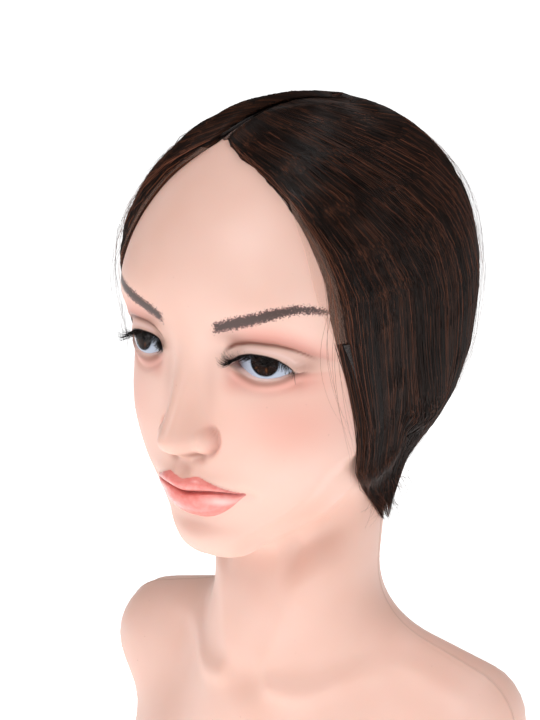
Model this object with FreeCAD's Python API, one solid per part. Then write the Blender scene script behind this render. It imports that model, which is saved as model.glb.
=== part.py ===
import FreeCAD, Part
import os
from math import asin, cos, degrees, exp, pi, radians, sin, sqrt

# Bust mannequin head with a removable short wig. Millimetres, +Z up, the face looks along -Y and
# the head's own left is +X. The work is done in the head's frame, whose origin lies midway between
# the corneas, and each part is moved to the stand's frame (bottom centre) when it is written.

# Driving dimensions
eyeLevel = 304.0          # corneas above the surface that the feet stand on
axisBehindEyes = 78.0     # stand's vertical axis behind the corneas
footHeight = 4.0
wall = 3.0                # moulded shell thickness
seamY = 97.0              # mould seam plane, just behind the ears
gapFit = 0.2              # play between parts that are glued or slipped together

skullCentre, skullRadii = (0, 82, 24), (72, 92, 74)
faceCentre, faceRadii = (0, 50, -34), (58, 58, 68)
jawHinge, chinSide, jawRadii = (44, 72, -52), (8, 20, -86), (13, 15)
chinCentre, chinRadii = (0, 18, -88), (17, 17, 14)
earCentre, earRadii = (66, 82, -12), (6, 13, 27)
neckTop, neckFoot, neckRadii = (0, 92, -40), (0, 76, -190), (42, 39)
chestCentre, chestRadii = (0, 92, -262), (103, 61, 88)
shoulderIn, shoulderOut, shoulderRadii = (20, 94, -170), (88, 100, -198), (22, 30)

eyeCentre, eyeRadius, eyeWall = (28.75, 19.1, -1.5), 18.0, 1.8
eyeTurn, eyeRim = 14.0, 15.5         # degrees outward, and radius of the shell's edge
lidThick = 1.2
irisRadius, irisThick, irisBack = 6.4, 0.8, 15.4
corneaReach, corneaRadius = 18.6, 12.4
eyeInner, eyeOuter = (18.5, -2.2), (46.8, -1.4)
lidTop, lidBottom = 4.6, -8.2
lashLength, lashThick = 8.0, 0.4

baseThick, socketBore, socketWall, socketLength = 6.0, 11.25, 2.5, 70.0
socketY = 84.0
flangeRadius, flangeThick, flangeBolts = 32.0, 3.0, 4
boltRadius, boltCircle, nutRadius = 2.5, 24.0, 4.6
footRadius, footX, footY = 9.0, 62.0, 26.0

capInside, capThick = 2.2, 1.0
hairInside, looseInside = 3.5, 1.0   # hair over the cap, and loose hair below it
thinHair = 2.6            # least thickness of the hair
hairSplitZ = 8.0          # hair above this line keeps its shape, below it the cap stretches
partHalf = 1.2            # half the width of the parting strip
laceWidth, laceThick = 9.0, 0.6      # degrees, and mm
sideEnd = 108.0           # angle where the side hair meets the back hair
pieceGap = 0.3            # degrees between neighbouring hair pieces

# Front edge of the hair: height, angle round from the face
hairEdge = [(-106, 90), (-95, 70), (-63, 49), (-40, 48), (-13, 43), (19, 37), (48, 29.5), (73, 21), (86, 3),
            (120, 0.6)]

# Outline of the hair: height, half width, half depth, middle behind the corneas
hairRings = [(-108, 43.5, 43.5, 86), (-84, 47, 47, 91), (-64, 55, 53, 92), (-49, 64, 61, 93),
             (-35, 71, 70, 92), (-16, 76.5, 85, 88), (8, 79, 92, 86), (24, 78.5, 95.5, 85),
             (40, 75.5, 93, 85), (55, 69.5, 86.5, 85), (70, 60, 75.5, 85), (84, 47, 60, 85),
             (95, 31.5, 41, 86), (103, 13, 18, 87)]

# Rings of rays that find the skin: origin height, and angle above level at the front, side and back
rayRings = [(0.00, 0, 89.4, 89.4, 89.4), (0.14, 0, 52, 52, 52), (0.24, 0, 18, 20, 24),
            (0.34, 0, -12, -8, 0), (0.44, 0, -36, -30, -20), (0.52, -2, -52, -42, -30),
            (0.56, -8, -60, -48, -36), (0.62, -32, -60, -50, -36), (0.68, -78, -50, -42, -30),
            (0.72, -115, -38, -20, -12), (0.76, -150, -21, 10, 25), (0.79, -185, 0, 37, 52),
            (0.82, -215, 21, 47, 60), (0.85, -215, 15, 35, 45), (0.88, -215, 9, 24, 30),
            (0.91, -215, 3, 12, 15), (0.94, -222, 0, 0, 0), (1.00, footHeight - eyeLevel, 0, 0, 0)]


vec = FreeCAD.Vector
os.makedirs("parts", exist_ok=True)


def write(name, shape):
    shape = shape.copy()
    shape.translate(vec(0, -axisBehindEyes, eyeLevel))
    box = shape.optimalBoundingBox(False, False)
    print(f"{name:20s} valid {shape.isValid()} solids {len(shape.Solids)} volume {shape.Volume:10.1f} "
          f"x {box.XMin:.1f} {box.XMax:.1f} y {box.YMin:.1f} {box.YMax:.1f} z {box.ZMin:.1f} {box.ZMax:.1f}")
    shape.exportStep(f"parts/{name}.step")
    allBoxes.add(box)


def mix(table, t, column):
    # value of one column of a table of rows, between the two rows around t
    for low, high in zip(table, table[1:]):
        if t <= high[0]:
            part = (t - low[0]) / (high[0] - low[0])
            return low[column] + (high[column] - low[column]) * max(part, 0)
    return table[-1][column]


def bell(t, width):
    return exp(-(t / width) ** 2)


def ease(start, end, t):
    t = min(max((t - start) / (end - start), 0), 1)
    return t * t * (3 - 2 * t)


# ---- distance to the skin, negative inside ----

def ellipsoid(x, y, z, centre, radii):
    px = (x - centre[0]) / radii[0]
    py = (y - centre[1]) / radii[1]
    pz = (z - centre[2]) / radii[2]
    near = sqrt(px * px + py * py + pz * pz)
    steep = sqrt((px / radii[0]) ** 2 + (py / radii[1]) ** 2 + (pz / radii[2]) ** 2) + 1e-9
    return near * (near - 1) / steep


def capsule(x, y, z, start, end, radii):
    dx, dy, dz = end[0] - start[0], end[1] - start[1], end[2] - start[2]
    px, py, pz = x - start[0], y - start[1], z - start[2]
    t = (px * dx + py * dy + pz * dz) / (dx * dx + dy * dy + dz * dz)
    t = min(max(t, 0), 1)
    across = sqrt((px - t * dx) ** 2 + (py - t * dy) ** 2 + (pz - t * dz) ** 2)
    return across - (radii[0] + (radii[1] - radii[0]) * t)


def blend(a, b, reach):
    h = min(max(0.5 + 0.5 * (b - a) / reach, 0), 1)
    return b * (1 - h) + a * h - reach * h * (1 - h)


def skinDistance(x, y, z):
    x = abs(x)
    d = ellipsoid(x, y, z, skullCentre, skullRadii)
    d = blend(d, ellipsoid(x, y, z, faceCentre, faceRadii), 22)
    d = blend(d, capsule(x, y, z, jawHinge, chinSide, jawRadii), 16)
    d = blend(d, ellipsoid(x, y, z, chinCentre, chinRadii), 10)
    d = blend(d, ellipsoid(x, y, z, earCentre, earRadii), 5)
    d = blend(d, capsule(x, y, z, neckTop, neckFoot, neckRadii), 14)
    torso = ellipsoid(x, y, z, chestCentre, chestRadii)
    torso = blend(torso, capsule(x, y, z, shoulderIn, shoulderOut, shoulderRadii), 26)
    return blend(d, torso, 30)


def relief(x, z):
    # how far the features stand forward of the plain face
    x = abs(x)
    nose = [(-50, 0), (-46, 5), (-42, 12), (-38, 17), (-34, 18), (-28, 15.5), (-18, 10.5), (-6, 4.5),
            (4, 1.5), (12, 0)]
    out = -7.5 * exp(-((x - 30) / 17) ** 2 - ((z - 1) / 12.5) ** 2)
    out += 8 * bell(x - 46, 22) * bell(z - 22, 20)
    out += mix(nose, z, 1) * bell(x, 9.5)
    out += 7.5 * bell(x - 12, 5.5) * bell(z + 37, 6.5)
    out += 5 * bell(x, 24) * bell(z + 62, 16)
    out += 4 * bell(x, 19) * bell(z + 58.5, 4.6)
    out += 4.5 * bell(x, 15) * bell(z + 70, 5)
    out += 3 * bell(x, 12) * bell(z + 91, 9)
    out += 3 * bell(x - 40, 15) * bell(z + 30, 17)
    return out


def rayOut(theta, ring, distance):
    # walk out from the axis in the seam plane until distance turns positive; theta is 0 at the face
    originZ, upFront, upSide, upBack = (mix(rayRings, ring, column) for column in (1, 2, 3, 4))
    up = radians(upSide + ((upFront if cos(theta) > 0 else upBack) - upSide) * cos(theta) ** 2)
    step = (cos(up) * sin(theta), -cos(up) * cos(theta), sin(up))

    def point(r):
        return step[0] * r, seamY + step[1] * r, originZ + step[2] * r

    far = 4.0
    while distance(*point(far)) < 0:
        far += 4.0
    near = far - 4.0
    for _ in range(14):
        middle = 0.5 * (near + far)
        if distance(*point(middle)) > 0:
            far = middle
        else:
            near = middle
    return point(near)


def skinPoint(theta, ring, level=0.0):
    # point of the skin, or of a layer that lies level outside it
    x, y, z = rayOut(theta, ring, lambda *p: skinDistance(*p) - level)
    y -= relief(x, z) * ease(62, 30, y) * ease(-112, -100, z)
    lid = (eyeRadius + lidThick + min(level, 0)) ** 2 - (abs(x) - eyeCentre[0]) ** 2 - (z - eyeCentre[2]) ** 2
    if lid > 0 and y < eyeCentre[1] + 10:
        y = blend(y, eyeCentre[1] - sqrt(lid), 3)
    return vec(x, y, z)


def hairPoint(insideAt):
    # outer surface of the hair: the outline's ellipses, or a thin layer over the piece's own inner surface,
    # which lies insideAt(ring) over the skin
    def distance(x, y, z, inside):
        low = max(z, hairRings[0][0])
        if low >= hairRings[-1][0]:
            outline = z - hairRings[-1][0]
        else:
            a, b, middle = (mix(hairRings, low, column) for column in (1, 2, 3))
            outline = (sqrt((x / a) ** 2 + ((y - middle) / b) ** 2) - 1) * min(a, b)
        forward = relief(x, z) * ease(62, 30, y)
        return min(outline, skinDistance(x, y + forward, z) - inside - thinHair)

    return lambda theta, ring: vec(*rayOut(theta, ring, lambda *p: distance(*p, insideAt(ring))))


def sheetFace(grid):
    # smooth face with the grid's points as its poles
    columns, rings = len(grid), len(grid[0])
    surface = Part.BSplineSurface()
    surface.buildFromPolesMultsKnots(grid, [4] + [1] * (columns - 4) + [4], [4] + [1] * (rings - 4) + [4],
                                     list(range(columns - 2)), list(range(rings - 2)), False, False, 3, 3)
    return surface


def panel(outer, inner):
    # closed solid between two grids of the same size: two skins and four ruled edges
    outside, inside = sheetFace(outer), sheetFace(inner)
    faces = [outside.toShape(), inside.toShape()]
    u0, u1, v0, v1 = outside.bounds()
    for u in (u0, u1):
        faces.append(Part.makeRuledSurface(outside.uIso(u).toShape(), inside.uIso(u).toShape()))
    for v in (v0, v1):
        faces.append(Part.makeRuledSurface(outside.vIso(v).toShape(), inside.vIso(v).toShape()))
    shell = Part.Shell(faces)
    shell.sewShape()
    solid = Part.Solid(shell)
    if solid.Volume < 0:
        solid.reverse()
    return solid


def spread(low, high, count):
    return [low + (high - low) * i / (count - 1) for i in range(count)]


def layer(outerPoint, innerPoint, thetas, rings):
    # thetas is a list of degrees, or gives that list for each ring
    turns = [thetas(ring) if callable(thetas) else thetas for ring in rings]
    grids = []
    for point in (outerPoint, innerPoint):
        grids.append([[point(radians(turns[j][i]), ring) for j, ring in enumerate(rings)]
                      for i in range(len(turns[0]))])
    return panel(*grids)


def offset(level):
    return lambda theta, ring: skinPoint(theta, ring, level)


def mirrored(shape):
    return shape.mirror(vec(0, 0, 0), vec(1, 0, 0))


def writePair(name, left):
    write(f"{name}_left", left)
    write(f"{name}_right", mirrored(left))


def rod(x, y, low, high, radius):
    return Part.makeCylinder(radius, high - low, vec(x, y, low))


allBoxes = FreeCAD.BoundBox()
rimZ = footHeight - eyeLevel

# ---- moulded shells, met in the seam plane ----
faceAngles = spread(-90, -50, 9)[:-1] + spread(-50, 50, 31) + spread(50, 90, 9)[1:]
bodyRings = spread(0, 1, 76)
inner, outer = vec(eyeInner[0], -60, eyeInner[1]), vec(eyeOuter[0], -60, eyeOuter[1])
upperArc = Part.Arc(inner, vec(33, -60, lidTop), outer)
lowerArc = Part.Arc(outer, vec(33, -60, lidBottom), inner)
almond = Part.Face(Part.Wire([upperArc.toShape(), lowerArc.toShape()])).extrude(vec(0, 76, 0))
pocket = Part.makeSphere(eyeRadius + gapFit, vec(*eyeCentre))
frontShell = layer(offset(0), offset(-wall), faceAngles, bodyRings)
for cutter in (almond, pocket, mirrored(almond), mirrored(pocket)):
    frontShell = frontShell.cut(cutter)
write("front_shell", max(frontShell.Solids, key=lambda s: s.Volume))
write("rear_shell", layer(offset(0), offset(-wall), spread(90, 270, 31), bodyRings))
strip = layer(offset(-wall - 0.4), offset(-wall - 1.6), spread(83, 97, 5), bodyRings[5:54])
write("seam_strip", Part.makeCompound([strip, mirrored(strip)]))

# ---- base: plate, blocks, screws, feet ----
plateTop = rimZ + baseThick
outline = [skinPoint(radians(a), 1.0, -wall - gapFit) for a in spread(0, 354, 60)]
plateEdge = Part.BSplineCurve()
plateEdge.interpolate([vec(p.x, p.y, rimZ) for p in outline], PeriodicFlag=True)
plate = Part.Face(Part.Wire([plateEdge.toShape()])).extrude(vec(0, 0, baseThick))
blocks, blockScrews = [], []
for x, y in ((34, 54), (60, 72), (52, 118)):
    for side in (-1, 1):
        blocks.append(Part.makeBox(20, 16, 22, vec(side * x - 10, y - 8, plateTop)))
        shank = rod(side * x, y, rimZ + 0.3, plateTop + 14, 2.0)
        blockScrews.append(shank.fuse(Part.makeCone(4.2, 2.0, 2.2, vec(side * x, y, rimZ + 0.3))))
screwsAll = Part.makeCompound(blockScrews)

# ---- stand socket with its flange, bolts and nuts ----
tube = rod(0, socketY, rimZ, rimZ + socketLength, socketBore + socketWall)
flange = rod(0, socketY, plateTop, plateTop + flangeThick, flangeRadius)
socket = tube.fuse(flange).cut(rod(0, socketY, rimZ - 1, rimZ + socketLength + 5, socketBore))
plate = plate.cut(rod(0, socketY, rimZ - 1, plateTop + 1, socketBore + socketWall)).cut(screwsAll)
bolts, nuts = [], []
for i in range(flangeBolts):
    turn = pi / 4 + i * 2 * pi / flangeBolts
    x, y = boltCircle * sin(turn), socketY + boltCircle * cos(turn)
    bolt = rod(x, y, rimZ + 0.3, plateTop + flangeThick + 7, boltRadius)
    bolts.append(bolt.fuse(Part.makeCone(5.0, boltRadius, 2.5, vec(x, y, rimZ + 0.3))))
    corners = [vec(x + nutRadius * cos(k * pi / 3), y + nutRadius * sin(k * pi / 3), plateTop + flangeThick)
               for k in range(7)]
    nut = Part.Face(Part.makePolygon(corners)).extrude(vec(0, 0, 4))
    nuts.append(nut.cut(rod(x, y, rimZ, plateTop + 20, boltRadius)))
boltsAll = Part.makeCompound(bolts)
write("base_plate", plate.cut(boltsAll))
write("base_blocks", Part.makeCompound([block.cut(screwsAll) for block in blocks]))
write("base_screws", screwsAll)
write("stand_socket", socket.cut(boltsAll))
write("socket_bolts", boltsAll)
write("socket_nuts", Part.makeCompound(nuts))
feet = [rod(side * footX, chestCentre[1] + depth * footY, -eyeLevel, rimZ, footRadius)
        for side in (-1, 1) for depth in (-1, 1)]
write("rubber_feet", Part.makeCompound(feet))

# ---- eyes: a white shell, an iris disc in its window, and a clear cornea over the disc ----


def placeEye(shape):
    # made at the ball's centre looking along -Y, then turned outward and moved to its place
    shape.rotate(vec(0, 0, 0), vec(0, 0, 1), eyeTurn)
    shape.translate(vec(*eyeCentre))
    return shape


sight, centre = vec(0, -1, 0), vec(0, 0, 0)
white = Part.makeSphere(eyeRadius, centre).cut(Part.makeSphere(eyeRadius - eyeWall, centre))
white = white.common(Part.makeCylinder(eyeRim, eyeRadius, centre, sight))
white = white.cut(Part.makeCylinder(irisRadius, eyeRadius, centre, sight))
writePair("eye_white", placeEye(white))
iris = Part.makeCylinder(irisRadius - 0.05, irisThick, sight * irisBack, sight)
writePair("iris", placeEye(iris))
plug = Part.makeCylinder(irisRadius - 0.05, 6, sight * (irisBack + irisThick), sight)
dome = Part.makeSphere(corneaRadius, sight * (corneaReach - corneaRadius))
writePair("cornea", placeEye(plug.common(dome)))

# ---- strip lashes: a stiff fan of hairs on a band along the upper lid's edge ----
lashRoot = Part.Arc(vec(21, -2.8, 0.8), vec(33, 0.2, 5.6), vec(46.5, 9.8, 0.4)).toShape()
fan = lashRoot.extrude(vec(0.1, -0.97, 0.1) * lashLength).extrude(vec(0, 0.1, 0.97) * lashThick)
writePair("lash", fan)

# ---- wig foundation ----


def ringAt(theta, height):
    # the ring that passes through this height at this angle
    low, high = 0.0, 0.8
    for _ in range(18):
        middle = 0.5 * (low + high)
        if skinPoint(radians(theta), middle).z > height:
            low = middle
        else:
            high = middle
    return low


def edgeAngle(ring):
    height = skinPoint(radians(35), ring).z
    return mix(hairEdge, height, 1)


def fromEdge(end, count, start=0.0, halfPart=0.0):
    # angles from the hairline, or from the parting where that is further round, to end
    def angles(ring):
        radius = seamY - skinPoint(0, ring).y
        parting = degrees(asin(min(halfPart / radius, 1)))
        return spread(min(max(edgeAngle(ring) + start, parting), end - 12), end, count)
    return angles


cap = (offset(capInside + capThick), offset(capInside))
comb = (offset(1.9), offset(0.8))
tooth = (offset(1.7), offset(1.0))
ringGap = 0.002           # between pieces that meet along a ring
crownRing = 0.012         # first ring, just round the pole
split = ringAt(90, hairSplitZ)
panelEnd, bandEnd = 0.53, 0.55       # rings where the nape panel and its band end
backEnd, napeEnd = 0.552, 0.655      # rings where the back hair and the nape hair end
strapStart, strapEnd = 0.505, 0.522
panelStart, bandStart, centreBack = 112, 118, 179.9      # degrees
upperRings = spread(crownRing, split, 16)
lowerRings = spread(split + ringGap, backEnd, 14)
napeRings = spread(backEnd + ringGap, napeEnd, 16)

capHalf = layer(*cap, fromEdge(centreBack, 24, laceWidth), upperRings)
write("wig_cap", Part.makeCompound([capHalf, mirrored(capHalf)]))
lace = layer(offset(capInside + laceThick), offset(capInside),
             lambda ring: spread(edgeAngle(ring) + 0.4, edgeAngle(ring) + laceWidth - 0.3, 6),
             spread(ringAt(0, 84), split, 14))
write("lace_front", Part.makeCompound([lace, mirrored(lace)]))
tabEnd = ringAt(60, -14)
tabRings = spread(split + ringGap, tabEnd, 6)
writePair("ear_tab", layer(*cap, lambda ring: spread(edgeAngle(ring) + 2, edgeAngle(ring) + 15, 6), tabRings))
napePanel = layer(*cap, spread(panelStart, centreBack, 16), spread(split + ringGap, panelEnd, 12))
write("nape_panel", Part.makeCompound([napePanel, mirrored(napePanel)]))
napeBand = layer(*cap, spread(bandStart, centreBack, 14), spread(panelEnd + ringGap, bandEnd, 5))
write("nape_band", Part.makeCompound([napeBand, mirrored(napeBand)]))
strapRings = spread(strapStart, strapEnd, 5)
writePair("adjuster_strap", layer(*comb, spread(120, 162, 12), strapRings))
writePair("strap_hook", layer(*comb, spread(162.6, 168, 5), strapRings))


def hairComb(middle, height, width):
    # bowed spine with teeth that lie against the scalp
    top = ringAt(middle, height)
    bar = layer(*comb, spread(middle - width, middle + width, 8), spread(top, top + 0.006, 4))
    for i in range(9):
        angle = middle - width + 0.6 + i * (2 * width - 1.2) / 8
        teeth = layer(*tooth, spread(angle - 0.45, angle + 0.45, 4), spread(top + 0.004, top + 0.03, 6))
        bar = bar.fuse(teeth)
    return bar


write("comb_front", hairComb(0, 95, 22))
writePair("comb_side", hairComb(78, 52, 13))
partRings = spread(0.03, ringAt(0, 86), 14)


def partAngles(ring):
    half = degrees(asin(partHalf / (seamY - skinPoint(0, ring).y)))
    return spread(-half, half, 4)


write("parting_strip", layer(offset(4.8), offset(capInside + capThick + 0.1), partAngles, partRings))

# ---- hair ----


def closing(ring):
    # inner level of the loose hair, which clears the ear tabs and then closes on the skin
    return looseInside + (hairInside - looseInside) * ease(tabEnd + 0.05, tabEnd + 0.01, ring)


firm = (hairPoint(lambda ring: hairInside), offset(hairInside))
loose = (hairPoint(closing), lambda theta, ring: skinPoint(theta, ring, closing(ring)))
backAngles = spread(sideEnd + pieceGap, 360 - sideEnd - pieceGap, 30)
topSide = layer(*firm, fromEdge(sideEnd, 24, halfPart=partHalf + 0.25), upperRings)
writePair("hair_top", topSide)
write("hair_crown", layer(*firm, backAngles, upperRings))
writePair("hair_side", layer(*loose, fromEdge(sideEnd, 20), lowerRings))
write("hair_back", layer(*firm, backAngles, lowerRings))
write("hair_nape", layer(*loose, spread(100, 260, 34), napeRings))
print("whole object", allBoxes)
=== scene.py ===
import bpy
import numpy as np
from math import cos, pi, radians, sin
from mathutils import Matrix, Vector


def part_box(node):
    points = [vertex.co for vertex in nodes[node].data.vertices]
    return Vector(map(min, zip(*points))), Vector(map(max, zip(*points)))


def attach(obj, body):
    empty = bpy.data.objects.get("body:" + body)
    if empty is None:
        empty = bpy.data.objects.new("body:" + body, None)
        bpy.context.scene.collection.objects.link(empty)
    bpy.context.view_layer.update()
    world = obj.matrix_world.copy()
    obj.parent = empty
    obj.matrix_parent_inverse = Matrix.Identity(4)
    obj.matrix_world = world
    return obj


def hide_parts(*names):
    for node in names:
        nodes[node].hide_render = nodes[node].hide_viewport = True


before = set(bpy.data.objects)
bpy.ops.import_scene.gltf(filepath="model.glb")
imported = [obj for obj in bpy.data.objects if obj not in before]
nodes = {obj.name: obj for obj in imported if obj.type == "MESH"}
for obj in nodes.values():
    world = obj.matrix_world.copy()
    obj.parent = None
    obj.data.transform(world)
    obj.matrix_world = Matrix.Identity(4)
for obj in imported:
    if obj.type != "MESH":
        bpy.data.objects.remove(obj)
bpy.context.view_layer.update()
print("frame loaded:", len(nodes), "nodes")

# The form is worked out in millimetres in the head's own frame: origin midway between the corneas,
# +Y to the back, +Z up. place() turns such points into the frame's metres.
seamY = 97.0      # mould seam, behind the corneas
rimZ = -300.0     # lower rim of the mouldings, below the corneas
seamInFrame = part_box("rear_shell")[0].y
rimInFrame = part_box("front_shell")[0].z
headOrigin = np.array([0.0, seamInFrame - seamY / 1000, rimInFrame - rimZ / 1000])


def place(points):
    return np.asarray(points, float) / 1000 + headOrigin


# small tools

def bell(t, width):
    return np.exp(-(t / width) ** 2)


def ease(start, end, t):
    t = np.clip((t - start) / (end - start), 0, 1)
    return t * t * (3 - 2 * t)


def curveThrough(points, t):
    # smooth line through a few points: cubic pieces with the slopes of their neighbours
    xs, ys = np.array(points, float).T
    slopes = np.gradient(ys, xs)
    t = np.clip(t, xs[0], xs[-1])
    i = np.clip(np.searchsorted(xs, t) - 1, 0, len(xs) - 2)
    gap = xs[i + 1] - xs[i]
    u = (t - xs[i]) / gap
    return ((2 * u ** 3 - 3 * u ** 2 + 1) * ys[i] + (u ** 3 - 2 * u ** 2 + u) * gap * slopes[i]
            + (3 * u ** 2 - 2 * u ** 3) * ys[i + 1] + (u ** 3 - u ** 2) * gap * slopes[i + 1])


def blend(a, b, reach):
    h = np.clip(0.5 + 0.5 * (b - a) / reach, 0, 1)
    return b * (1 - h) + a * h - reach * h * (1 - h)


def ellipsoid(p, centre, radii):
    q = (p - centre) / radii
    near = np.linalg.norm(q, axis=-1)
    steep = np.linalg.norm(q / radii, axis=-1) + 1e-9
    return near * (near - 1) / steep


def capsule(p, start, end, r0, r1):
    start, end = np.array(start, float), np.array(end, float)
    along = end - start
    t = np.clip((p - start) @ along / (along @ along), 0, 1)
    return np.linalg.norm(p - start - t[..., None] * along, axis=-1) - (r0 + (r1 - r0) * t)


# form of the head and bust

def plainForm(p):
    # distance to the plain skin, without the features of the face; negative inside
    p = p.copy()
    p[..., 0] = np.abs(p[..., 0])
    d = ellipsoid(p, (0, 82, 24), (72, 92, 74))                                     # skull
    d = blend(d, ellipsoid(p, (0, 50, -34), (58, 58, 68)), 22)                      # face
    d = blend(d, capsule(p, (44, 72, -52), (8, 20, -86), 13, 15), 16)               # jaw
    d = blend(d, ellipsoid(p, (0, 18, -88), (17, 17, 14)), 10)                      # chin
    d = blend(d, ellipsoid(p, (66, 82, -12), (6, 13, 27)), 5)                       # ear
    d = blend(d, capsule(p, (0, 92, -40), (0, 76, -190), 42, 39), 14)               # neck
    torso = ellipsoid(p, (0, 92, -262), (103, 61, 88))
    torso = blend(torso, capsule(p, (20, 94, -170), (88, 100, -198), 22, 30), 26)   # shoulder
    return blend(d, torso, 30)


# rings of rays: ring, height of their origin, angle above level at the front, side and back
rayRings = np.array([
    (0.00, 0, 89.4, 89.4, 89.4), (0.14, 0, 52, 52, 52), (0.24, 0, 18, 20, 24), (0.34, 0, -12, -8, 0),
    (0.44, 0, -36, -30, -20), (0.52, -2, -52, -42, -30), (0.56, -8, -60, -48, -36),
    (0.62, -32, -60, -50, -36), (0.68, -78, -50, -42, -30), (0.72, -115, -38, -20, -12),
    (0.76, -150, -21, 10, 25), (0.79, -185, 0, 37, 52), (0.82, -215, 21, 47, 60), (0.85, -215, 15, 35, 45),
    (0.88, -215, 9, 24, 30), (0.91, -215, 3, 12, 15), (0.94, -222, 0, 0, 0), (1.00, rimZ, 0, 0, 0)])


def rayOut(theta, ring, distance):
    # walks out from the axis in the seam plane until distance turns positive; theta is 0 at the face
    originZ, upFront, upSide, upBack = (np.interp(ring, rayRings[:, 0], rayRings[:, c]) for c in (1, 2, 3, 4))
    upEnd = np.where(np.cos(theta) > 0, upFront, upBack)
    up = np.radians(upSide + (upEnd - upSide) * np.cos(theta) ** 2)
    step = np.stack([np.cos(up) * np.sin(theta), -np.cos(up) * np.cos(theta), np.sin(up)], -1)
    origin = np.stack([0 * theta, 0 * theta + seamY, originZ], -1)
    far = np.full(theta.shape, 8.0)
    for _ in range(48):
        outside = distance(origin + step * far[..., None]) > 0
        if outside.all():
            break
        far = np.where(outside, far, far + 4)
    near = far - 4
    for _ in range(13):
        middle = (near + far) / 2
        outside = distance(origin + step * middle[..., None]) > 0
        far = np.where(outside, middle, far)
        near = np.where(outside, near, middle)
    return origin + step * near[..., None]


eye = {"centre": (28.75, 19.1, -1.5), "radius": 18.0, "turn": 17.5, "raise": 5.0, "lid": 1.2,
       "iris": 6.4, "pupil": 2.1, "inner": 18.3, "outer": 45.6,
       "upper": [(18.3, -2.6), (20.5, -0.2), (25.6, 2.1), (32, 2.8), (36.8, 2.3), (41.3, 0.4),
                 (44.4, -2.8), (45.6, -5)],
       "lower": [(18.3, -2.6), (20.5, -4.6), (23.8, -6.7), (29.3, -9.1), (36, -9.3), (41.6, -7.6),
                 (45.6, -5)],
       "fold": [(15, 0.5), (18, 4.4), (21, 6.6), (25, 7.9), (34, 8.4), (41, 7.6), (46, 5.4),
                (50.4, 2.0), (56, -2.5)]}


def lidHeights(x):
    # heights at x: the upper and the lower lid's edge, the line between the corners, the lid's fold
    x = np.asarray(x, float)
    held = np.clip(x, eye["inner"], eye["outer"])
    upper, lower = curveThrough(eye["upper"], held), curveThrough(eye["lower"], held)
    t = (held - eye["inner"]) / (eye["outer"] - eye["inner"])
    return upper, lower, -2.6 - 2.4 * t, curveThrough(eye["fold"], np.clip(x, 15, 56))


lip = {"corner": 24.6,
       "bow": [(0, -57.4), (3.5, -56.4), (7.2, -55.5), (12, -57.4), (18, -60.9), (24.6, -64.2)],
       "line": [(0, -64.6), (4, -64.0), (9, -63.3), (16, -63.2), (24.6, -64.4)],
       "lower": [(0, -78.2), (6, -77.9), (12, -76.0), (18, -71.6), (24.6, -64.7)]}


def lipPlace(x, z):
    # how far up a point lies in the upper lip, and how far down in the lower one, from 0 at the mouth's line
    line, bow, lower = (curveThrough(lip[k], x) for k in ("line", "bow", "lower"))
    return (z - line) / np.maximum(bow - line, 0.2), (line - z) / np.maximum(line - lower, 0.2)


def dome(s):
    return np.where((s > 0) & (s < 1), (4 * np.clip(s, 0, 1) * np.clip(1 - s, 0, 1)) ** 0.62, 0)


noseReach = [(-58, 0), (-51, 0.4), (-48, 2.4), (-45.5, 7.2), (-43, 13.2), (-40.5, 17.4), (-37.5, 19.8),
             (-34, 19.6), (-29, 16.6), (-22, 12.4), (-14, 8.4), (-6, 4.8), (0, 2.8), (6, 1.4), (14, 0)]
noseWidth = [(-58, 8), (-48, 8), (-43, 8.2), (-37, 9.8), (-31, 8.6), (-22, 7.0), (-10, 7.0), (0, 7.6),
             (14, 12)]


def features(x, z):
    # how far the face's features stand forward of the plain skin
    x = np.abs(x)
    out = -7.5 * np.exp(-((x - 30) / 17) ** 2 - ((z - 1) / 12.5) ** 2)              # eye socket
    out += 8 * bell(x - 46, 22) * bell(z - 22, 20)                                  # brow bone
    out += 5 * bell(x, 24) * bell(z + 62, 16) + 3 * bell(x, 12) * bell(z + 91, 9)   # muzzle, chin
    out += 3 * bell(x - 40, 15) * bell(z + 30, 17)                                  # cheek
    bridge = curveThrough(noseReach, z) * np.exp(-(x / curveThrough(noseWidth, z)) ** 2.5)
    wing = np.sqrt(((x - 9.4) / 6.0) ** 2 + ((z + 38.0) / 7.2) ** 2)
    out -= 1.5 * bell(wing - 1.06, 0.16) * ease(11, 15, x) * ease(-26, -32, z)      # fold beside the wing
    out -= 3.4 * bell(x - 6.6, 2.8) * bell(z + 46.2, 3.0)                           # nostril
    wing = 8.4 * np.sqrt(np.clip(1 - ease(0.2, 1.04, wing) ** 1.6, 0, 1))
    out += -blend(-bridge, -wing, 2.4)                                              # nose and its wings
    out -= 0.9 * bell(x, 2.6) * ease(-58, -54, z) * ease(-46, -50, z)               # groove over the lip
    out += 0.7 * bell(x - 5, 2.2) * ease(-58, -55, z) * ease(-46, -52, z)
    across = np.clip(1 - (x / lip["corner"]) ** 2, 0, 1)
    up, down = lipPlace(x, z)
    out += 3.6 * bell(x, 19) * bell(z + 59, 4.8) + 2.6 * dome(up) * across ** 0.35
    out += 3.4 * bell(x, 15) * bell(z + 70, 6) + 3.8 * dome(down) * across ** 0.4
    line = curveThrough(lip["line"], x)
    out -= 2.0 * bell(z - line, 1.0) * across ** 0.5
    out -= 1.6 * np.exp(-((x - 25.4) / 2.8) ** 2 - ((z + 64.9) / 2.8) ** 2)         # corner of the mouth
    out -= 1.3 * bell(x, 15) * bell(z + 82.5, 3.6)                                  # fold over the chin
    return out


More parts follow.
